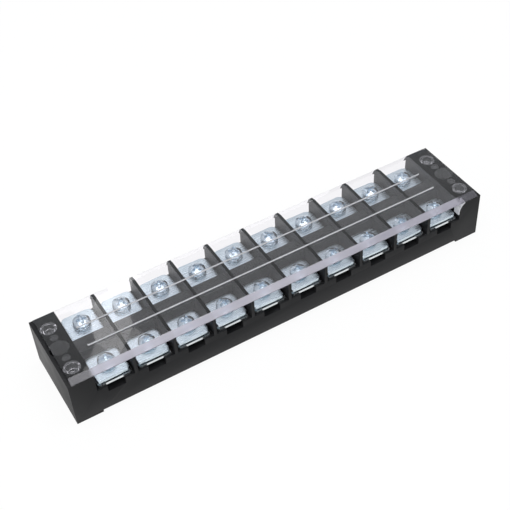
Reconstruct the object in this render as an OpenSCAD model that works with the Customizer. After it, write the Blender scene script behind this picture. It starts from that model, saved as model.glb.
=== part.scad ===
// Double-row barrier terminal strip with a clear lift-off cover.
// X runs along the strip, Y from the front row to the back row, Z up.
// The origin is the centre of the base's underside. All sizes are in millimetres.

/* [Strip] */
// Number of terminal positions
poles = 10; // [2:1:11]
// Distance from one position to the next
pitch = 17.5; // [14.5:0.5:26]
// Depth of the base, from its front face to its back face
base_d = 39; // [32:0.5:60]
// Height of the base above its mounting surface
base_h = 22.2; // [18.5:0.1:32]
// Distance from the outermost position to the end of the base
end_w = 10; // [8.5:0.5:20]
// Gap under the middle of the base, between its feet
foot_h = 1.1; // [0.5:0.1:2]
// Length of the foot at each end
foot_w = 11.3; // [9:0.1:16]

/* [Bays] */
// Thickness of the barriers between positions
barrier_t = 1.4; // [1:0.1:2.5]
// Depth of a bay, from the top of the base down to the seat of the conductors
bay_h = 8.95; // [7.5:0.05:12]
// Width of the ridge along the middle of the base
ridge_w = 7; // [5:0.5:12]
// Distance from the top of the base down to the top of the ridge
ridge_drop = 3.5; // [1:0.1:5]
// Radius of the rounding on the front inner corner of the right end block
corner_r = 5; // [2:0.5:6]
// Wall between the cored pockets in the underside, and round them
core_wall = 1.5; // [1:0.1:3]
// Corner radius of the cored pockets
core_r = 1.5; // [0.5:0.1:3]

/* [Conductors] */
// Thickness of the conductors
conductor_t = 1; // [0.6:0.1:1.6]
// Gap between a conductor and the barrier on each side
conductor_side_gap = 1.1; // [0.5:0.05:2]
// Distance from each end of a conductor to the face of the base
conductor_end_gap = 1; // [0.2:0.1:3]
// Corner radius of the conductors
conductor_r = 0.8; // [0.2:0.1:2]
// Clearance round a conductor in its slot through the ridge
tunnel_gap = 0.15; // [0.05:0.05:0.4]

/* [Pressure plates] */
// Thickness of the pressure plates
plate_t = 1.5; // [1:0.1:2]
// Height of the two lips that hold a plate off its conductor
lip_h = 0.6; // [0.3:0.1:1]
// Width of each lip
lip_w = 1.2; // [0.6:0.1:2]
// Gap between a plate and the barrier on each side
plate_side_gap = 1.05; // [0.5:0.05:2]
// Gap from a plate to the ridge, and to the face of the base
plate_end_gap = 1.4; // [0.5:0.1:2.5]
// Radius of the two wide corners of a plate, on its +Y side
plate_r = 2.8; // [0.5:0.1:4]
// Radius of the two tight corners of a plate, on its -Y side
plate_tight_r = 1.1; // [0.3:0.1:4]
// Radial clearance of a screw in its plate and conductor
hole_gap = 0.35; // [0.2:0.05:0.8]

/* [Screws] */
// Thread diameter of the screws
screw_d = 4; // [3:0.1:5]
// Length of a screw under its head
screw_l = 8; // [6:0.5:9]
// Diameter of a screw's head
head_d = 7; // [6.5:0.1:8.5]
// Height of a screw's head
head_h = 2.4; // [2:0.1:3]
// Height of the straight rim of a screw's head
head_rim_h = 1.2; // [0.5:0.1:1.5]
// Width of the driver slot and of the cross recess
slot_w = 0.9; // [0.6:0.1:1.2]
// Depth of the driver slot
slot_h = 0.9; // [0.4:0.1:1.2]
// Length of the arms of the cross recess, tip to tip
cross_l = 4.2; // [3:0.1:5]
// Depth of the cross recess
cross_h = 1.6; // [1:0.1:1.8]
// Diameter of the spring washers
washer_d = 7.4; // [6.5:0.1:8.5]
// Thickness of the spring washers
washer_t = 1; // [0.8:0.1:1.4]
// Radial clearance of a spring washer on its screw
washer_gap = 0.2; // [0.1:0.05:0.4]
// Width of the split in a spring washer
split_w = 0.7; // [0.3:0.1:1.2]
// Gap that keeps a screw's head and its washer separate pieces
face_gap = 0.02; // [0.01:0.01:0.05]

/* [Nuts] */
// Width of the square nuts across their flats
nut_w = 7; // [6:0.1:8.5]
// Thickness of the nuts
nut_t = 2.2; // [1.8:0.1:2.8]
// Radial clearance between a screw and its nut
thread_gap = 0.05; // [0.02:0.01:0.1]
// Clearance on each side of a nut in its pocket
pocket_gap = 0.25; // [0.1:0.05:0.5]
// Clearance under a nut in its pocket
pocket_drop = 0.8; // [0.2:0.1:1]
// Radial clearance of a screw's tip in the well below its nut
well_gap = 0.4; // [0.2:0.1:0.8]
// Clearance below a screw's tip
well_drop = 0.6; // [0.3:0.1:1]

/* [End blocks] */
// Diameter of the mounting holes
mount_d = 4.5; // [3.5:0.1:5.5]
// Diameter of the recess for a mounting screw's head
recess_d = 7.4; // [6:0.1:8]
// Depth of that recess
recess_h = 14; // [2:0.5:16]
// Wall between that recess and the end of the base
recess_wall = 0.9; // [0.6:0.1:2]
// Diameter of the small locating spots
spot_d = 3.4; // [2:0.1:3.6]
// Depth of the locating spots
spot_h = 0.6; // [0.2:0.1:2]

/* [Cover] */
// Thickness of the cover
cover_t = 1.5; // [1:0.1:3]
// Distance from each end of the cover to the end of the base
cover_end_gap = 1.6; // [0.5:0.1:3]
// Width of the bevel along each long edge
bevel_w = 3.2; // [1:0.1:5]
// Thickness left at the long edges
edge_t = 0.25; // [0.1:0.05:0.8]
// Distance of each rib from the middle of the cover
rib_y = 5.3; // [3:0.1:10]
// Width of the ribs
rib_w = 1.2; // [0.6:0.1:2]
// Height of the ribs
rib_h = 0.6; // [0.3:0.1:1.5]
// Distance from each end of a rib to the end of the bays
rib_end_gap = 6.3; // [3:0.1:12]
// Diameter of the posts that hold the cover
post_d = 6.6; // [5:0.1:7]
// Height of the posts
post_h = 3.2; // [2:0.1:6]
// Wall of the posts, which are hollow
post_wall = 1.2; // [0.8:0.1:2]
// Radial clearance of a post in its socket
post_gap = 0.1; // [0.05:0.05:0.3]
// Clearance below a post in its socket
post_drop = 0.4; // [0.2:0.1:1]
// Thickness of the hook that wraps the rounded corner of the right end block
hook_t = 0.6; // [0.4:0.1:0.7]
// Clearance between the hook and the end block
hook_gap = 0.15; // [0.1:0.05:0.3]
// Length of the hook's straight leg below the rounded corner
hook_leg = 1; // [0.2:0.1:2]

/* [Hidden] */
$fn = 48;
// How far a cutting shape runs past the face that it opens
past = 1;
// The two rows: -1 is the front, 1 is the back
sides = [-1, 1];

bays_l = poles * pitch;
length = bays_l + 2 * end_w;
bay_w = pitch - barrier_t;
block_x = (bays_l - barrier_t) / 2;
row_y = (base_d + ridge_w) / 4;
row_w = (base_d - ridge_w) / 2;

seat_z = base_h - bay_h;
ridge_z = base_h - ridge_drop;
lip_z = seat_z + conductor_t;
plate_z = lip_z + lip_h + plate_t;
head_z = plate_z + washer_t + face_gap;
tip_z = head_z - screw_l;
nut_z = seat_z - nut_t;
pocket_z = nut_z - pocket_drop;
well_z = tip_z - well_drop;
core_z = min(well_z, pocket_z) - core_wall;

conductor_w = bay_w - 2 * conductor_side_gap;
conductor_l = base_d - 2 * conductor_end_gap;
plate_w = bay_w - 2 * plate_side_gap;
plate_l = row_w - 2 * plate_end_gap;
pocket_w = nut_w + 2 * pocket_gap;
bolt_r = screw_d / 2 - thread_gap;
clear_r = screw_d / 2 + hole_gap;

mount_x = (block_x + length / 2) / 2;
recess_x = length / 2 - recess_wall - recess_d / 2;
post_y = row_y;
socket_r = post_d / 2 + post_gap;
spot_y = (recess_d / 2 + post_y - socket_r) / 2;
cover_l = length - 2 * cover_end_gap;
rib_l = bays_l - 2 * rib_end_gap;

// Centre of position i along the strip, counted from 1 at the left end
function pole_x(i) = (i - (poles + 1) / 2) * pitch;
// Angle of the driver slot of screw i in each row, as the screwdriver left it
function slot_turn(i, side) = 37 * i + 50 * side;
// Number i with two digits
function two(i) = str(i < 10 ? "0" : "", i);
// Name of a piece of the front or back row
function row_name(kind, side, i) = str(kind, side < 0 ? "_front_" : "_back_", two(i));

// Rectangle w by l about the origin, with corners of radius r on its +Y side and tight_r on its -Y side
module round_rect(w, l, r, tight_r) {
    translate([-w / 2, tight_r - l / 2]) square([w, l - r - tight_r]);
    for (end = [[-1, tight_r], [1, r]]) {
        corner = end[1];
        translate([0, end[0] * (l / 2 - corner)]) square([w - 2 * corner, 2 * corner], center = true);
        for (x = [-1, 1])
            translate([x * (w / 2 - corner), end[0] * (l / 2 - corner)]) circle(corner);
    }
}

// Slot of width w between two centres l apart, about the origin along X
module stadium(l, w) {
    square([l, w], center = true);
    for (x = [-1, 1])
        translate([x * l / 2, 0]) circle(w / 2);
}

// Block centred on X and Y, standing on z
module block(w, l, z, h) {
    translate([-w / 2, -l / 2, z]) cube([w, l, h]);
}

// Both rows' open bays and the dip over the ridge, as one profile run along X
module bay_space() {
    out_y = base_d / 2 + past;
    in_y = ridge_w / 2;
    top_z = base_h + past;
    translate([-bay_w / 2, 0, 0])
        rotate([90, 0, 90])
            linear_extrude(bay_w)
                polygon([
                    [-out_y, seat_z], [-in_y, seat_z], [-in_y, ridge_z], [in_y, ridge_z],
                    [in_y, seat_z], [out_y, seat_z], [out_y, top_z], [-out_y, top_z]
                ]);
}

// Pocket for one row's nut, open to the face of the base, with the well for the screw's tip
module nut_space(side) {
    inner_y = row_y - pocket_w / 2;
    pocket_l = base_d / 2 + past - inner_y;
    translate([0, side * (inner_y + pocket_l / 2), 0])
        block(pocket_w, pocket_l, pocket_z, seat_z - pocket_z + conductor_t / 2);
    translate([0, side * row_y, well_z])
        cylinder(r = screw_d / 2 + well_gap, h = pocket_z - well_z + past);
}

// Cored pocket in the underside of one row
module core_space(side) {
    core_l = base_d / 2 - core_wall * 1.5;
    translate([0, side * (core_wall + core_l) / 2, -past])
        linear_extrude(core_z + past) round_rect(pitch - core_wall, core_l, core_r, core_r);
}

// Everything that is open at one position
module position_space() {
    bay_space();
    block(conductor_w + 2 * tunnel_gap, ridge_w + past, seat_z, conductor_t + tunnel_gap);
    for (side = sides) {
        nut_space(side);
        core_space(side);
    }
}

// Mounting hole, sockets and spots of one end block, for the +X end
module end_space() {
    translate([mount_x, 0, -past]) cylinder(d = mount_d, h = base_h + 2 * past);
    translate([(mount_x + recess_x) / 2, 0, base_h - recess_h])
        linear_extrude(recess_h + past) stadium(abs(recess_x - mount_x), recess_d);
    for (side = sides) {
        translate([mount_x, side * post_y, base_h - post_h - post_drop])
            cylinder(r = socket_r, h = post_h + post_drop + past);
        translate([mount_x, side * spot_y, base_h - spot_h])
            cylinder(d = spot_d, h = spot_h + past);
    }
}

// What the rounding takes off the front inner corner of the right end block
module corner_space() {
    translate([block_x, -base_d / 2 + bevel_w, base_h - corner_r])
        rotate([90, 0, 0])
            linear_extrude(bevel_w + past)
                difference() {
                    translate([-past, 0]) square([corner_r + past, corner_r + past]);
                    translate([corner_r, 0]) circle(corner_r);
                }
}

// Moulded base: barriers, ridge, conductor seats, nut pockets and end blocks in one piece
module base() {
    color("#1b1b1e")
    difference() {
        block(length, base_d, 0, base_h);
        block(length - 2 * foot_w, base_d + 2 * past, -past, foot_h + past);
        for (i = [1 : poles])
            translate([pole_x(i), 0, 0]) position_space();
        end_space();
        mirror([1, 0, 0]) end_space();
        corner_space();
    }
}

// Thin hook under the cover's front edge: a quarter ring and a straight leg, along the rounded corner
module cover_hook() {
    inner_r = corner_r + hook_gap;
    outer_r = inner_r + hook_t;
    translate([block_x + corner_r, -base_d / 2 + bevel_w - hook_gap, base_h - corner_r])
        rotate([90, 0, 0])
            linear_extrude(bevel_w - hook_gap) {
                intersection() {
                    difference() {
                        circle(outer_r);
                        circle(inner_r);
                    }
                    translate([-outer_r, 0]) square([outer_r, corner_r + edge_t / 2]);
                }
                translate([-outer_r, -hook_leg]) square([hook_t, hook_leg]);
            }
}

// Clear cover: bevelled plate with two ribs, held by four hollow posts in the end blocks
module cover() {
    edge_y = base_d / 2;
    flat_y = edge_y - bevel_w;
    color([0.85, 0.87, 0.92, 0.35]) {
        translate([-cover_l / 2, 0, base_h])
            rotate([90, 0, 90])
                linear_extrude(cover_l)
                    polygon([
                        [-edge_y, 0], [edge_y, 0], [edge_y, edge_t],
                        [flat_y, cover_t], [-flat_y, cover_t], [-edge_y, edge_t]
                    ]);
        for (side = sides)
            translate([0, side * rib_y, base_h + cover_t / 2])
                linear_extrude(cover_t / 2 + rib_h) stadium(rib_l - rib_w, rib_w);
        for (x = [-1, 1], side = sides)
            translate([x * mount_x, side * post_y, base_h - post_h])
                difference() {
                    cylinder(d = post_d, h = post_h + cover_t / 2);
                    translate([0, 0, -past]) cylinder(r = post_d / 2 - post_wall, h = post_h + past);
                }
        cover_hook();
    }
}

// Flat conductor that joins the two rows at one position
module conductor(i) {
    color("#c9cfd6")
    translate([pole_x(i), 0, seat_z])
        linear_extrude(conductor_t)
            difference() {
                round_rect(conductor_w, conductor_l, conductor_r, conductor_r);
                for (side = sides) translate([0, side * row_y]) circle(clear_r);
            }
}

// Pressure plate: a flat plate with two lips along its sides that stand on the conductor
module plate(side, i) {
    color("#b9c4cf")
    translate([pole_x(i), side * row_y, lip_z])
        difference() {
            linear_extrude(lip_h + plate_t)
                difference() {
                    round_rect(plate_w, plate_l, plate_r, plate_tight_r);
                    circle(clear_r);
                }
            block(plate_w - 2 * lip_w, plate_l + 2 * past, -past, lip_h + past);
        }
}

// Domed head with a driver slot and a cross recess, standing on z = 0
module screw_head() {
    dome_h = head_h - head_rim_h;
    dome_r = (pow(head_d / 2, 2) + pow(dome_h, 2)) / (2 * dome_h);
    difference() {
        intersection() {
            cylinder(d = head_d, h = head_h);
            translate([0, 0, head_h - dome_r]) sphere(dome_r);
        }
        block(head_d + past, slot_w, head_h - slot_h, slot_h + past);
        block(cross_l, slot_w, head_h - cross_h, cross_h + past);
        block(slot_w, cross_l, head_h - cross_h, cross_h + past);
    }
}

// Split spring washer, standing on z = 0
module spring_washer() {
    difference() {
        cylinder(d = washer_d, h = washer_t);
        translate([0, 0, -past]) cylinder(r = bolt_r + washer_gap, h = washer_t + 2 * past);
        translate([0, -split_w / 2, -past]) cube([washer_d, split_w, washer_t + 2 * past]);
    }
}

// Screw with its captive spring washer
module screw(side, i) {
    color("#d5dbe1")
    translate([pole_x(i), side * row_y, 0])
        rotate([0, 0, slot_turn(i, side)]) {
            translate([0, 0, head_z]) {
                screw_head();
                translate([0, 0, -screw_l]) cylinder(r = bolt_r, h = screw_l + head_rim_h / 4);
            }
            translate([0, 0, plate_z]) spring_washer();
        }
}

// The square nuts of one row, held in their pockets against the conductors
module nuts(side) {
    color("#aeb4ba")
    for (i = [1 : poles])
        translate([pole_x(i), side * row_y, 0])
            difference() {
                block(nut_w, nut_w, nut_z, nut_t);
                translate([0, 0, nut_z - past]) cylinder(d = screw_d, h = nut_t + 2 * past);
            }
}

base();
cover();
nuts(-1);  // nuts_front
nuts(1);  // nuts_back
for (i = [1 : poles]) {
    conductor(i);
    plate(-1, i);
    plate(1, i);
    screw(-1, i);
    screw(1, i);
}
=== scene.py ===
"""Looks of the ten-way barrier terminal strip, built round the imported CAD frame. Lengths are in metres."""

import math

import bmesh
import bpy
import numpy as np
from mathutils import Matrix, Vector


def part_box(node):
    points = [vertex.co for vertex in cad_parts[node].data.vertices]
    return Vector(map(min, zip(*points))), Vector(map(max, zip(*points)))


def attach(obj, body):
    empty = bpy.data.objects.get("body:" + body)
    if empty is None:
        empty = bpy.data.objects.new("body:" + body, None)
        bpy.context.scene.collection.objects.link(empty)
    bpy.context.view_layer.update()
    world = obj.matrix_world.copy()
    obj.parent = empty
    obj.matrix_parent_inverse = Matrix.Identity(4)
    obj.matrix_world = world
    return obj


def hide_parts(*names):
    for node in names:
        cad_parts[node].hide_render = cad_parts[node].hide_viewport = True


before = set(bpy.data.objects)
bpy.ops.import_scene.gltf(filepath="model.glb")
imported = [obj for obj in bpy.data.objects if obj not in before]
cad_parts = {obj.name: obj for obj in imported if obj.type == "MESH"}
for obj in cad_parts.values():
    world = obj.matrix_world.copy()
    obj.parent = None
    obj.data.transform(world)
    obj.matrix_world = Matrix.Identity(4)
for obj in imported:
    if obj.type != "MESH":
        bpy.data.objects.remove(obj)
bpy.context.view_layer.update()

MM = 0.001
TAU = 2 * math.pi
POLES = range(1, 11)
ROWS = {"front": -1, "back": 1}

# Sizes that the frame's boxes don't give
COVER_T = 1.5 * MM
BEVEL_W = 3.2 * MM
EDGE_T = 0.25 * MM
RIB_Y = 5.3 * MM
RIB_W = 1.2 * MM
RIB_INSET = 14.7 * MM
POST_R = 3.3 * MM
POST_WALL = 1.2 * MM
POST_H = 3.2 * MM
HOLE_R = 2.35 * MM
LIP_W = 1.2 * MM
PLATE_T = 1.5 * MM
PLATE_CORNERS = ((0.8 * MM, 2.3 * MM), (1.6 * MM, 3.0 * MM))
HEAD_H = 2.4 * MM
RIM_H = 1.2 * MM
HEAD_R = 3.5 * MM
WASHER_R = 3.7 * MM
WASHER_T = 1.0 * MM
SHANK_R = 1.95 * MM
THREAD_PITCH = 0.7 * MM
SLOT_W = 0.9 * MM
CROSS_L = 4.2 * MM
CORNER_R = 5.0 * MM
HOOK_T = 0.6 * MM
HOOK_GAP = 0.15 * MM
HOOK_LEG = 1.0 * MM
END_BLOCK_W = 10.7 * MM


# ---------------------------------------------------------------- mesh tools


def grid_quads(rows, columns, close_rows=False, close_columns=False):
    """Quads of a rows by columns grid of points, each joined to the next in both directions."""
    i = np.arange(rows if close_rows else rows - 1)
    j = np.arange(columns if close_columns else columns - 1)
    i, j = np.meshgrid(i, j, indexing="ij")
    up, right = (i + 1) % rows, (j + 1) % columns
    quads = np.stack([i * columns + j, i * columns + right, up * columns + right, up * columns + j], -1)
    return quads.reshape(-1, 4)


def shell(points, close_rows=False, close_columns=True, cap_first=False, cap_last=False):
    """Vertices and faces of a grid of points, with flat caps over the first and last rings if asked."""
    rows, columns, _ = points.shape
    faces = grid_quads(rows, columns, close_rows, close_columns).tolist()
    if cap_first:
        faces.append(list(range(columns))[::-1])
    if cap_last:
        faces.append([(rows - 1) * columns + k for k in range(columns)])
    return points.reshape(-1, 3), faces


def add_piece(name, shells, material, body, replaces=(), sharp=30):
    """One object from several closed shells, smooth except at edges sharper than the given angle."""
    vertices, faces, start = [], [], 0
    for points, quads in shells:
        vertices.append(points)
        faces += [[start + k for k in face] for face in quads]
        start += len(points)
    mesh = bpy.data.meshes.new(name)
    mesh.from_pydata(np.concatenate(vertices).tolist(), [], faces)
    work = bmesh.new()
    work.from_mesh(mesh)
    bmesh.ops.remove_doubles(work, verts=work.verts, dist=1e-7)
    bmesh.ops.recalc_face_normals(work, faces=work.faces)
    work.to_mesh(mesh)
    work.free()
    mesh.shade_smooth()
    mesh.set_sharp_from_angle(angle=math.radians(sharp))
    piece = bpy.data.objects.new(name, mesh)
    bpy.context.collection.objects.link(piece)
    mesh.materials.append(material)
    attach(piece, body)
    if replaces:
        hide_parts(*replaces)
    return piece


def turned(points, angle):
    """Points turned about the Z axis."""
    c, s = math.cos(angle), math.sin(angle)
    return points @ np.array([[c, s, 0], [-s, c, 0], [0, 0, 1]])


def revolve(profile, steps=64):
    """Ring of points for each (radius, height) pair of the profile: x = r cos a, y = r sin a, z = h."""
    angle = np.linspace(0, TAU, steps, endpoint=False)
    r, h = np.asarray(profile, float).T
    x = r[:, None] * np.cos(angle)
    y = r[:, None] * np.sin(angle)
    z = np.broadcast_to(h[:, None], x.shape)
    return np.stack([x, y, z], -1)


def smooth_step(x, low, high):
    """0 below low, 1 above high, and 3t^2 - 2t^3 between them."""
    t = np.clip((x - low) / (high - low), 0, 1)
    return t * t * (3 - 2 * t)


# ---------------------------------------------------------------- materials


def node_tree(name):
    """A new material with only its Principled shader and output."""
    material = bpy.data.materials.new(name)
    material.use_nodes = True
    nodes, links = material.node_tree.nodes, material.node_tree.links
    shader = next(n for n in nodes if n.type == "BSDF_PRINCIPLED")
    return material, nodes, links, shader


def object_noise(nodes, links, scale, stretch=(1, 1, 1), detail=4, roughness=0.55):
    """Noise on Object coordinates, with features about 1/scale metres across."""
    where = nodes.new("ShaderNodeTexCoord")
    mapping = nodes.new("ShaderNodeMapping")
    noise = nodes.new("ShaderNodeTexNoise")
    mapping.inputs["Scale"].default_value = stretch
    noise.inputs["Scale"].default_value = scale
    noise.inputs["Detail"].default_value = detail
    noise.inputs["Roughness"].default_value = roughness
    links.new(where.outputs["Object"], mapping.inputs["Vector"])
    links.new(mapping.outputs["Vector"], noise.inputs["Vector"])
    return noise.outputs["Fac"]


def spread(nodes, links, source, low, high, centre=0.5, width=0.25):
    """Maps a noise round its centre to the range low to high."""
    ranged = nodes.new("ShaderNodeMapRange")
    ranged.inputs["From Min"].default_value = centre - width
    ranged.inputs["From Max"].default_value = centre + width
    ranged.inputs["To Min"].default_value = low
    ranged.inputs["To Max"].default_value = high
    links.new(source, ranged.inputs["Value"])
    return ranged.outputs["Result"]


def two_tones(nodes, links, source, first, second, centre=0.5, width=0.25):
    """Colour between two tones, by a noise."""
    mix = nodes.new("ShaderNodeMix")
    mix.data_type = "RGBA"
    mix.inputs["A"].default_value = (*first, 1)
    mix.inputs["B"].default_value = (*second, 1)
    links.new(spread(nodes, links, source, 0, 1, centre, width), mix.inputs["Factor"])
    return mix.outputs["Result"]


def add_bump(nodes, links, shader, source, strength, distance):
    """Bump of the given height in metres."""
    bump = nodes.new("ShaderNodeBump")
    bump.inputs["Strength"].default_value = strength
    bump.inputs["Distance"].default_value = distance
    links.new(source, bump.inputs["Height"])
    links.new(bump.outputs["Normal"], shader.inputs["Normal"])


def moulded_black():
    """Black moulded plastic: fine grain, faint flow marks and slightly uneven gloss."""
    material, nodes, links, shader = node_tree("moulded_black")
    grain = object_noise(nodes, links, 2600, detail=3)
    flow = object_noise(nodes, links, 60, stretch=(0.5, 1, 2), detail=5)
    links.new(two_tones(nodes, links, flow, (0.0075, 0.0078, 0.0085), (0.014, 0.014, 0.015)), shader.inputs["Base Color"])
    links.new(spread(nodes, links, flow, 0.40, 0.56), shader.inputs["Roughness"])
    shader.inputs["Specular IOR Level"].default_value = 0.2
    add_bump(nodes, links, shader, grain, 0.35, 0.02 * MM)
    return material


def zinc(name, dark, light, rough_low, rough_high, brush):
    """Blue zinc plate with cloudy tone and gloss, brushed by the stretch given for each axis."""
    material, nodes, links, shader = node_tree(name)
    cloud = object_noise(nodes, links, 260, detail=5)
    brushed = object_noise(nodes, links, 420, stretch=brush, detail=3)
    links.new(two_tones(nodes, links, cloud, dark, light), shader.inputs["Base Color"])
    links.new(spread(nodes, links, brushed, rough_low, rough_high), shader.inputs["Roughness"])
    shader.inputs["Metallic"].default_value = 1
    add_bump(nodes, links, shader, brushed, 0.1, 0.004 * MM)
    return material


def lets_lamps_through(material, nodes, links, shader, tint):
    """Sends rays from lamps straight through, so that clear plastic doesn't shade what it covers."""
    path = nodes.new("ShaderNodeLightPath")
    clear = nodes.new("ShaderNodeBsdfTransparent")
    clear.inputs["Color"].default_value = (*tint, 1)
    mix = nodes.new("ShaderNodeMixShader")
    output = next(n for n in nodes if n.type == "OUTPUT_MATERIAL")
    links.new(path.outputs["Is Shadow Ray"], mix.inputs["Fac"])
    links.new(shader.outputs["BSDF"], mix.inputs[1])
    links.new(clear.outputs["BSDF"], mix.inputs[2])
    links.new(mix.outputs["Shader"], output.inputs["Surface"])


def clear_plastic():
    """Clear polycarbonate with a trace of haze."""
    material, nodes, links, shader = node_tree("clear_plastic")
    haze = object_noise(nodes, links, 90, detail=4)
    links.new(spread(nodes, links, haze, 0.0, 0.035), shader.inputs["Roughness"])
    shader.inputs["Base Color"].default_value = (0.95, 0.94, 0.96, 1)
    shader.inputs["Transmission Weight"].default_value = 1
    shader.inputs["IOR"].default_value = 1.585
    lets_lamps_through(material, nodes, links, shader, (0.86, 0.86, 0.88))
    return material


def front_bevel_painted_glow():
    """The front bevel of the cover: the same plastic with a milky lavender-grey colour, a painted glow for the light
    caught in its edge; it lets more light through over the end blocks, so the painted glow is dimmer there.
    """
    material, nodes, links, shader = node_tree("front_bevel_painted_glow")
    # Painted glow: lavender-grey tones in streaks along the bevel.
    streak = object_noise(nodes, links, 160, stretch=(0.35, 2, 2), detail=4)
    links.new(two_tones(nodes, links, streak, (0.37, 0.355, 0.42), (0.46, 0.445, 0.51)), shader.inputs["Base Color"])
    links.new(spread(nodes, links, streak, 0.14, 0.3), shader.inputs["Roughness"])
    where = nodes.new("ShaderNodeTexCoord")
    split = nodes.new("ShaderNodeSeparateXYZ")
    distance = nodes.new("ShaderNodeMath")
    distance.operation = "ABSOLUTE"
    links.new(where.outputs["Object"], split.inputs["Vector"])
    links.new(split.outputs["X"], distance.inputs[0])
    # More transmission, and so less painted glow, beyond |x| = 86.8 mm, over the end blocks.
    links.new(spread(nodes, links, distance.outputs[0], 0.3, 0.85, 0.0868, 0.0012), shader.inputs["Transmission Weight"])
    shader.inputs["IOR"].default_value = 1.585
    lets_lamps_through(material, nodes, links, shader, (0.6, 0.6, 0.63))
    return material


def rib_painted_highlight():
    """Pale colour on the side walls of the ribs: a painted highlight, the fine pale lines where they catch the
    light.
    """
    material, nodes, links, shader = node_tree("rib_painted_highlight")
    # Painted highlight: pale grey tones, partly see-through.
    fleck = object_noise(nodes, links, 900, detail=3)
    links.new(two_tones(nodes, links, fleck, (0.62, 0.62, 0.64), (0.85, 0.85, 0.87)), shader.inputs["Base Color"])
    shader.inputs["Roughness"].default_value = 0.4
    shader.inputs["Transmission Weight"].default_value = 0.15
    return material


BLACK = moulded_black()
PAINTED_HIGHLIGHT = rib_painted_highlight()
CLEAR = clear_plastic()
FRONT_BEVEL_GLOW = front_bevel_painted_glow()
PLATE_ZINC = zinc("plate_zinc", (0.55, 0.64, 0.70), (0.70, 0.78, 0.83), 0.2, 0.36, (0.25, 6, 6))
SCREW_ZINC = zinc("screw_zinc", (0.52, 0.62, 0.70), (0.70, 0.78, 0.84), 0.16, 0.3, (1, 1, 1))
CONDUCTOR_PLATING = zinc("conductor_plating", (0.66, 0.70, 0.72), (0.80, 0.83, 0.84), 0.2, 0.34, (6, 0.25, 6))
NUT_ZINC = zinc("nut_zinc", (0.48, 0.54, 0.58), (0.62, 0.68, 0.72), 0.28, 0.42, (1, 1, 6))


# ---------------------------------------------------------------- pieces


def soft_edged_copy(node, material, body, width, angle=30):
    """A CAD node's own shape with its loose triangles joined and its sharp edges rounded by the given width."""
    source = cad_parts[node]
    mesh = source.data.copy()
    mesh.name = f"{node}_moulding"
    work = bmesh.new()
    work.from_mesh(mesh)
    bmesh.ops.remove_doubles(work, verts=work.verts, dist=2e-6)
    bmesh.ops.dissolve_limit(work, angle_limit=math.radians(0.5), verts=work.verts, edges=work.edges)
    work.to_mesh(mesh)
    work.free()
    mesh.materials.clear()
    mesh.materials.append(material)
    piece = bpy.data.objects.new(f"{node}_moulding", mesh)
    bpy.context.collection.objects.link(piece)
    mesh.shade_smooth()
    bevel = piece.modifiers.new("rounding", "BEVEL")
    bevel.width = width
    bevel.segments = 2
    bevel.limit_method = "ANGLE"
    bevel.angle_limit = math.radians(angle)
    bevel.miter_outer = "MITER_ARC"
    bevel.harden_normals = True
    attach(piece, body)
    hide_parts(node)
    return piece


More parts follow.
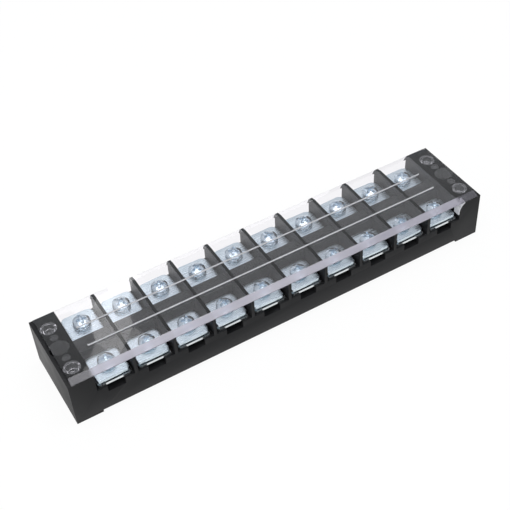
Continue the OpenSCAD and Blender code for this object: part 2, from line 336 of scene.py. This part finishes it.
def cover_plate():
    """Cover plate: a closed profile across the strip, carried along it, with the two ribs as bumps in its top.

    The top is z = T, falling in a straight line to the thin edge over the bevel's width. Each rib adds
    h * (1 - d / w) / 0.4, kept between 0 and h, at a distance d from its own line, where w is half its width.
    Its ends are rounded by the same rule along X.
    """
    low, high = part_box("cover")
    length, depth = high[0] - low[0], high[1] - low[1]
    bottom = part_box("base")[1][2]
    rib_h = high[2] - bottom - COVER_T
    edge_y, flat_y = depth / 2, depth / 2 - BEVEL_W
    soft = 0.12 * MM
    half_w = RIB_W / 2
    across = half_w * np.sin(np.linspace(-1, 1, 17) * math.pi / 2)
    lines = [across - RIB_Y, across + RIB_Y, [-flat_y + soft, flat_y - soft, 0.0]]
    top_y = np.unique(np.concatenate(lines))
    end = length / 2 - RIB_INSET + 1.6 * MM
    along = end - half_w + half_w * np.sin(np.linspace(0, 1, 9) * math.pi / 2)
    top_x = np.concatenate([[-length / 2, -length / 2 + soft], -along[::-1], along, [length / 2 - soft, length / 2]])
    off_line = np.minimum(np.abs(top_y - RIB_Y), np.abs(top_y + RIB_Y)) / half_w
    past_end = np.clip((np.abs(top_x) - (end - half_w)) / half_w, 0, None)
    reach = np.hypot(off_line[None, :], past_end[:, None])
    rib = rib_h * np.clip((1 - reach) / 0.4, 0, 1)
    inset = np.where(np.abs(top_x) > length / 2 - soft / 2, soft, 0.0)[:, None]
    ones = np.ones(len(top_x))[:, None]
    slope = (COVER_T - EDGE_T) / BEVEL_W
    right = [
        (flat_y + soft, COVER_T - slope * soft),
        (edge_y - soft, EDGE_T + slope * soft),
        (edge_y, EDGE_T * 0.7),
        (edge_y, EDGE_T * 0.2),
        (edge_y - EDGE_T * 0.3, 0),
    ]
    left = [(-y, z) for y, z in right[::-1]]
    y = np.concatenate([ones * top_y, ones * [p[0] for p in right], ones * [p[0] for p in left]], 1)
    z = np.concatenate([COVER_T + rib, ones * [p[1] for p in right], ones * [p[1] for p in left]], 1)
    z = np.clip(z, inset * 0.5, COVER_T + rib_h) - inset * 0.5 * (z > COVER_T / 2)
    x = np.broadcast_to(top_x[:, None], y.shape)
    points = np.stack([x, y, z + bottom], -1)
    plate = shell(points, cap_first=True, cap_last=True)
    piece = add_piece("cover_plate", [plate], CLEAR, "cover", ("cover",), sharp=20)
    # Second slot: the painted glow, given to the faces of the front bevel only.
    piece.data.materials.append(FRONT_BEVEL_GLOW)
    count = len(piece.data.polygons)
    centres, normals = np.empty(count * 3), np.empty(count * 3)
    piece.data.polygons.foreach_get("center", centres)
    piece.data.polygons.foreach_get("normal", normals)
    centres, normals = centres.reshape(-1, 3), normals.reshape(-1, 3)
    # Third slot: the painted highlight, given to the sloping side walls of the ribs.
    piece.data.materials.append(PAINTED_HIGHLIGHT)
    glow_mask = (centres[:, 1] < -flat_y) & (normals[:, 2] > 0.1)
    highlight_mask = (np.abs(centres[:, 1]) < flat_y) & (normals[:, 2] > 0.1) & (normals[:, 2] < 0.8)
    piece.data.polygons.foreach_set("material_index", (glow_mask + 2 * highlight_mask).astype(np.int32))
    return piece


def cover_hook():
    """Hook under the cover: a rectangular section carried round an arc from the cover, then straight down, in the
    pale painted-highlight material.
    """
    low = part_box("cover")[0]
    base_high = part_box("base")[1]
    block_x = base_high[0] - END_BLOCK_W
    centre_z = base_high[2] - CORNER_R
    inner, outer = CORNER_R + HOOK_GAP, CORNER_R + HOOK_GAP + HOOK_T
    front, back = low[1] + 0.02 * MM, low[1] + BEVEL_W - HOOK_GAP
    section = ((inner, front), (outer, front), (outer, back), (inner, back))
    angle = np.linspace(math.radians(118), math.pi, 17)
    points = []
    for a in angle:
        points.append([(r * math.cos(a), y, r * math.sin(a)) for r, y in section])
    points.append([(-r, y, -HOOK_LEG) for r, y in section])
    points = np.array(points) + [block_x + CORNER_R, 0, centre_z]
    hook = shell(points, cap_first=True, cap_last=True)
    # Pale colour here is a painted highlight, where the end block's rounded front corner catches the light.
    return add_piece("cover_hook", [hook], PAINTED_HIGHLIGHT, "cover")


def cover_posts():
    """The four hollow posts under the cover: a rounded ring profile revolved about each post's axis."""
    base_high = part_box("base")[1]
    block_x = base_high[0] - END_BLOCK_W
    post_x = (block_x + base_high[0]) / 2
    screw_low, screw_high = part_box("screw_back_01")
    post_y = (screw_low[1] + screw_high[1]) / 2
    top, foot = base_high[2] - 0.01 * MM, base_high[2] - POST_H
    inner, edge = POST_R - POST_WALL, 0.2 * MM
    ring = revolve(
        [
            (inner, top),
            (inner, foot + edge),
            (inner + edge, foot),
            (POST_R - 2 * edge, foot),
            (POST_R, foot + 2 * edge),
            (POST_R, top),
        ]
    )
    shells = []
    for sx in (-1, 1):
        for sy in (-1, 1):
            shells.append(shell(ring + [sx * post_x, sy * post_y, 0], close_rows=True))
    return add_piece("cover_posts", shells, CLEAR, "cover")


def outline_radius(angle, half_w, half_l, inset):
    """Distance in the given directions from the centre to a rectangle whose corners have their own radii."""
    corner = np.array(PLATE_CORNERS)[(np.cos(angle) > 0).astype(int), (np.sin(angle) > 0).astype(int)] - inset
    c, s = np.abs(np.cos(angle)) + 1e-9, np.abs(np.sin(angle)) + 1e-9
    straight = np.minimum(half_w / c, half_l / s)
    cx, cy = half_w - corner, half_l - corner
    dot = cx * c + cy * s
    inside = np.clip(dot**2 - cx**2 - cy**2 + corner**2, 0, None)
    in_corner = (straight * c > cx) & (straight * s > cy)
    return np.where(in_corner, dot + np.sqrt(inside), straight)


def pressure_plate(row, i, turn):
    """Pressed plate: rings that blend from the screw hole to the rounded outline, with rounded edges all round.

    The top sags by sag * u^2 towards its front and back edges, where u is the share of the way there from the
    middle. Two lips run along the sides below it.
    """
    node = f"plate_{row}_{i:02d}"
    side = ROWS[row]
    low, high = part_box(node)
    centre = (np.array(low) + high) / 2
    half_w, half_l = (high[0] - low[0]) / 2, (high[1] - low[1]) / 2
    top, under = high[2], high[2] - PLATE_T
    edge = 0.3 * MM
    angle = np.linspace(0, TAU, 180, endpoint=False)
    arc = np.linspace(0, math.pi / 2, 5)
    rings = [
        (0, 0.0, top - 0.15 * MM, HOLE_R),
        (0, 0.0, top - 0.04 * MM, HOLE_R + 0.05 * MM),
        (0, 0.0, top, HOLE_R + 0.15 * MM),
    ]
    rings += [(edge, t, top, HOLE_R + 0.15 * MM) for t in np.linspace(0, 1, 9)[1:]]
    rings += [(edge * (1 - math.sin(a)), 1.0, top - edge * (1 - math.cos(a)), HOLE_R) for a in arc[1:]]
    rings += [(edge * 0.5 * (1 - math.cos(a)), 1.0, under + edge * 0.5 * (1 - math.sin(a)), HOLE_R) for a in arc]
    rings += [(edge * 0.5, 0.5, under, HOLE_R), (0, 0.0, under, HOLE_R)]
    u = np.stack([np.cos(angle), np.sin(angle)], -1)
    points = []
    for inset, t, z, hole in rings:
        outer = outline_radius(angle, half_w - inset, half_l - inset, inset)
        r = (1 - t) * hole + t * outer
        xy = u * r[:, None]
        points.append(np.concatenate([xy, np.full((len(angle), 1), z)], 1))
    points = np.array(points)
    outward = side * points[..., 1] / half_l
    sag = 0.22 * MM * np.clip(outward, 0, 1) ** 2 + 0.1 * MM * np.clip(-outward, 0, 1) ** 2
    share = np.clip((points[..., 2] - under) / PLATE_T, 0, 1)
    points[..., 2] -= sag * share
    shells = [shell(points, close_rows=True)]
    for sx in (-1, 1):
        x = np.array([half_w - LIP_W, half_w - 0.1 * MM, half_w, half_w, half_w - LIP_W + 0.1 * MM, half_w - LIP_W])
        z = np.array([under + 0.1 * MM, under + 0.1 * MM, under + 0.1 * MM, low[2] + 0.1 * MM, low[2], low[2] + 0.1 * MM])
        tight, wide = PLATE_CORNERS[int(sx > 0)]
        v = np.linspace(tight - half_l, half_l - wide, 9)[:, None]
        bar = np.stack([np.broadcast_to(sx * x, (9, 6)), np.broadcast_to(v, (9, 6)), np.broadcast_to(z, (9, 6))], -1)
        shells.append(shell(bar, cap_first=True, cap_last=True))
    shells = [(turned(p, turn) + [centre[0], centre[1], 0], f) for p, f in shells]
    name, body = f"pressure_plate_{row}_{i:02d}", f"clamp_{row}_{i:02d}"
    return add_piece(name, shells, PLATE_ZINC, body, (node,), sharp=40)


def screw_head(turn, base_z):
    """Domed head on a polar grid: a spherical dome less a slot and a tapered cross, over a rounded rim."""
    dome_h = HEAD_H - RIM_H
    dome_r = (HEAD_R**2 + dome_h**2) / (2 * dome_h)
    r = np.concatenate([np.linspace(0, 0.95, 36), [0.975, 1.0]]) * HEAD_R
    angle = np.linspace(0, TAU, 120, endpoint=False)
    x, y = r[:, None] * np.cos(angle), r[:, None] * np.sin(angle)
    dome = np.sqrt(dome_r**2 - (r * 0.985) ** 2)[:, None] - dome_r + HEAD_H
    c, s = math.cos(turn), math.sin(turn)
    u, v = x * c + y * s, -x * s + y * c
    ramp = 0.14 * MM
    slot = 0.75 * MM * (1 - smooth_step(np.abs(v), SLOT_W / 2 - ramp, SLOT_W / 2 + ramp / 2))
    cross = np.zeros_like(x)
    for p, q in ((u, v), (v, u)):
        width = SLOT_W / 2 + 0.12 * MM
        beside = 1 - smooth_step(np.abs(q), width - ramp, width + ramp / 2)
        along = 1 - smooth_step(np.abs(p), CROSS_L / 2 - 3 * ramp, CROSS_L / 2 + ramp)
        arm = beside * along
        cross = np.maximum(cross, arm * (1.7 * MM - 0.25 * np.abs(p)))
    top = dome - np.maximum(slot, cross)
    points = np.stack([x, y, top], -1)
    rim = revolve([(HEAD_R, RIM_H - 0.12 * MM), (HEAD_R, 0.25 * MM), (HEAD_R - 0.22 * MM, 0), (SHANK_R, 0)], 120)
    points = np.concatenate([points, rim])
    points[..., 2] += base_z
    return points


def threaded_shank(tip_z, head_z):
    """Shank with a V thread: the radius rises and falls in a triangle wave of (height / pitch - turn)."""
    angle = np.linspace(0, TAU, 24, endpoint=False)
    z = np.linspace(tip_z + 0.5 * MM, head_z - 0.4 * MM, 64)
    phase = (z[:, None] - tip_z) / THREAD_PITCH - angle / TAU
    wave = np.abs((phase % 1) * 2 - 1)
    r = SHANK_R - 0.38 * MM * (1 - wave)
    body = np.stack([r * np.cos(angle), r * np.sin(angle), np.broadcast_to(z[:, None], r.shape)], -1)
    tip = revolve([(SHANK_R * 0.6, tip_z)], 24)
    neck = revolve([(SHANK_R, head_z - 0.2 * MM), (SHANK_R, head_z)], 24)
    return np.concatenate([tip, body, neck])


def spring_washer(low_z):
    """Split ring: a rounded square section carried round the axis, from one side of the split to the other."""
    inner, outer, e = SHANK_R + 0.2 * MM, WASHER_R, 0.18 * MM
    top = low_z + WASHER_T
    section = [
        (inner, low_z + e),
        (inner + e, low_z),
        (outer - e, low_z),
        (outer, low_z + e),
        (outer, top - e),
        (outer - e, top),
        (inner + e, top),
        (inner, top - e),
    ]
    half_split = 0.35 * MM / outer
    angle = np.linspace(half_split, TAU - half_split, 72)
    r, z = np.array(section).T
    return np.stack([np.cos(angle)[:, None] * r, np.sin(angle)[:, None] * r, np.broadcast_to(z, (72, len(r)))], -1)


def clamping_screw(row, i, turn):
    """Screw and its captive washer."""
    node = f"screw_{row}_{i:02d}"
    low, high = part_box(node)
    centre = (np.array(low) + high) / 2
    head_z = high[2] - HEAD_H
    plate_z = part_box(f"plate_{row}_{i:02d}")[1][2]
    shells = [
        shell(screw_head(turn, head_z), cap_last=False),
        shell(threaded_shank(low[2], head_z), cap_first=True, cap_last=True),
        shell(turned(spring_washer(plate_z), turn + 0.6), cap_first=True, cap_last=True),
    ]
    shells = [(p + [centre[0], centre[1], 0], f) for p, f in shells]
    return add_piece(f"clamping_screw_{row}_{i:02d}", shells, SCREW_ZINC, node, (node,), sharp=50)


def finish_cad_nodes():
    """Conductors and nuts keep their CAD shape and get their plating."""
    for i in POLES:
        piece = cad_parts[f"conductor_{i:02d}"]
        piece.data.materials.clear()
        piece.data.materials.append(CONDUCTOR_PLATING)
    for row in ROWS:
        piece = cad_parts[f"nuts_{row}"]
        piece.data.materials.clear()
        piece.data.materials.append(NUT_ZINC)


soft_edged_copy("base", BLACK, "strip", 0.2 * MM)
cover_plate()
cover_hook()
cover_posts()
finish_cad_nodes()
for row, side in ROWS.items():
    for i in POLES:
        slack = math.radians(1.6) * math.sin(2.4 * i + side)
        pressure_plate(row, i, slack)
        clamping_screw(row, i, math.radians(37 * i + 50 * side))


# ---------------------------------------------------------------- stage, light and camera


def add_floor():
    """Plain white floor: it glows white to the eye and in gloss and glass, and keeps part of the shadow."""
    bpy.ops.mesh.primitive_plane_add(size=6, location=(0, 0, -0.0002))
    floor = bpy.context.object
    floor.name = "floor"
    material, nodes, links, shader = node_tree("floor_white")
    shader.inputs["Base Color"].default_value = (0.92, 0.92, 0.92, 1)
    shader.inputs["Roughness"].default_value = 0.9
    path = nodes.new("ShaderNodeLightPath")
    glow = nodes.new("ShaderNodeEmission")
    glow.inputs["Strength"].default_value = 1
    mix = nodes.new("ShaderNodeMixShader")
    seen = nodes.new("ShaderNodeMath")
    seen.operation = "MAXIMUM"
    seen_all = nodes.new("ShaderNodeMath")
    seen_all.operation = "MAXIMUM"
    share = nodes.new("ShaderNodeMath")
    share.operation = "MULTIPLY"
    share.inputs[1].default_value = 0.93
    links.new(path.outputs["Is Camera Ray"], seen.inputs[0])
    links.new(path.outputs["Is Glossy Ray"], seen.inputs[1])
    links.new(seen.outputs[0], seen_all.inputs[0])
    links.new(path.outputs["Is Transmission Ray"], seen_all.inputs[1])
    links.new(seen_all.outputs[0], share.inputs[0])
    links.new(share.outputs[0], mix.inputs["Fac"])
    links.new(shader.outputs["BSDF"], mix.inputs[1])
    links.new(glow.outputs["Emission"], mix.inputs[2])
    output = next(n for n in nodes if n.type == "OUTPUT_MATERIAL")
    links.new(mix.outputs["Shader"], output.inputs["Surface"])
    floor.data.materials.append(material)


def add_world():
    """Soft sky: dimmer near the horizon, brightest at mid height."""
    world = bpy.data.worlds.new("studio")
    world.use_nodes = True
    bpy.context.scene.world = world
    nodes, links = world.node_tree.nodes, world.node_tree.links
    background = next(n for n in nodes if n.type == "BACKGROUND")
    where = nodes.new("ShaderNodeTexCoord")
    split = nodes.new("ShaderNodeSeparateXYZ")
    ramp = nodes.new("ShaderNodeValToRGB")
    ramp.color_ramp.elements[0].position = 0.0
    ramp.color_ramp.elements[0].color = (0.30, 0.32, 0.35, 1)
    ramp.color_ramp.elements[1].position = 0.62
    ramp.color_ramp.elements[1].color = (0.78, 0.80, 0.83, 1)
    top = ramp.color_ramp.elements.new(1.0)
    top.color = (0.55, 0.56, 0.58, 1)
    links.new(where.outputs["Generated"], split.inputs["Vector"])
    links.new(split.outputs["Z"], ramp.inputs["Fac"])
    links.new(ramp.outputs["Color"], background.inputs["Color"])


def add_softbox(name, at, size, watts, colour=(1, 1, 1)):
    """Rectangular lamp that faces the object's middle."""
    lamp = bpy.data.lights.new(name, "AREA")
    lamp.shape = "RECTANGLE"
    lamp.size, lamp.size_y = size
    lamp.energy = watts
    lamp.color = colour
    piece = bpy.data.objects.new(name, lamp)
    bpy.context.collection.objects.link(piece)
    piece.location = at
    piece.rotation_euler = (Vector((0, 0, 0)) - Vector(at)).to_track_quat("-Z", "Y").to_euler()


def add_camera():
    """Camera at the viewing angle, given by its place, its compass angle, its tilt and its roll."""
    azimuth, elevation, roll = math.radians(-27.910), math.radians(44.693), math.radians(3.891)
    forward = Vector((-math.sin(azimuth) * math.cos(elevation), math.cos(azimuth) * math.cos(elevation), -math.sin(elevation)))
    level = forward.cross(Vector((0, 0, 1))).normalized()
    down = forward.cross(level)
    right = math.cos(roll) * level + math.sin(roll) * down
    up = math.sin(roll) * level - math.cos(roll) * down
    camera = bpy.data.cameras.new("camera")
    camera.sensor_width = 36
    camera.lens = 73.68
    camera.clip_start = 0.01
    piece = bpy.data.objects.new("camera", camera)
    bpy.context.collection.objects.link(piece)
    turn = Matrix((right, up, -forward)).transposed().to_4x4()
    piece.matrix_world = Matrix.Translation(Vector((-0.14749, -0.26961, 0.32713))) @ turn
    bpy.context.scene.camera = piece


add_floor()
add_world()
add_softbox("top_softbox", (0.0, -0.05, 1.0), (1.0, 0.8), 5.5)
add_softbox("back_strip", (0.1, 0.6, 0.67), (0.05, 2.4), 0.55)
add_softbox("left_softbox", (-0.9, -0.4, 0.6), (0.6, 0.6), 1.6)
add_camera()
bpy.context.scene.view_settings.view_transform = "Standard"
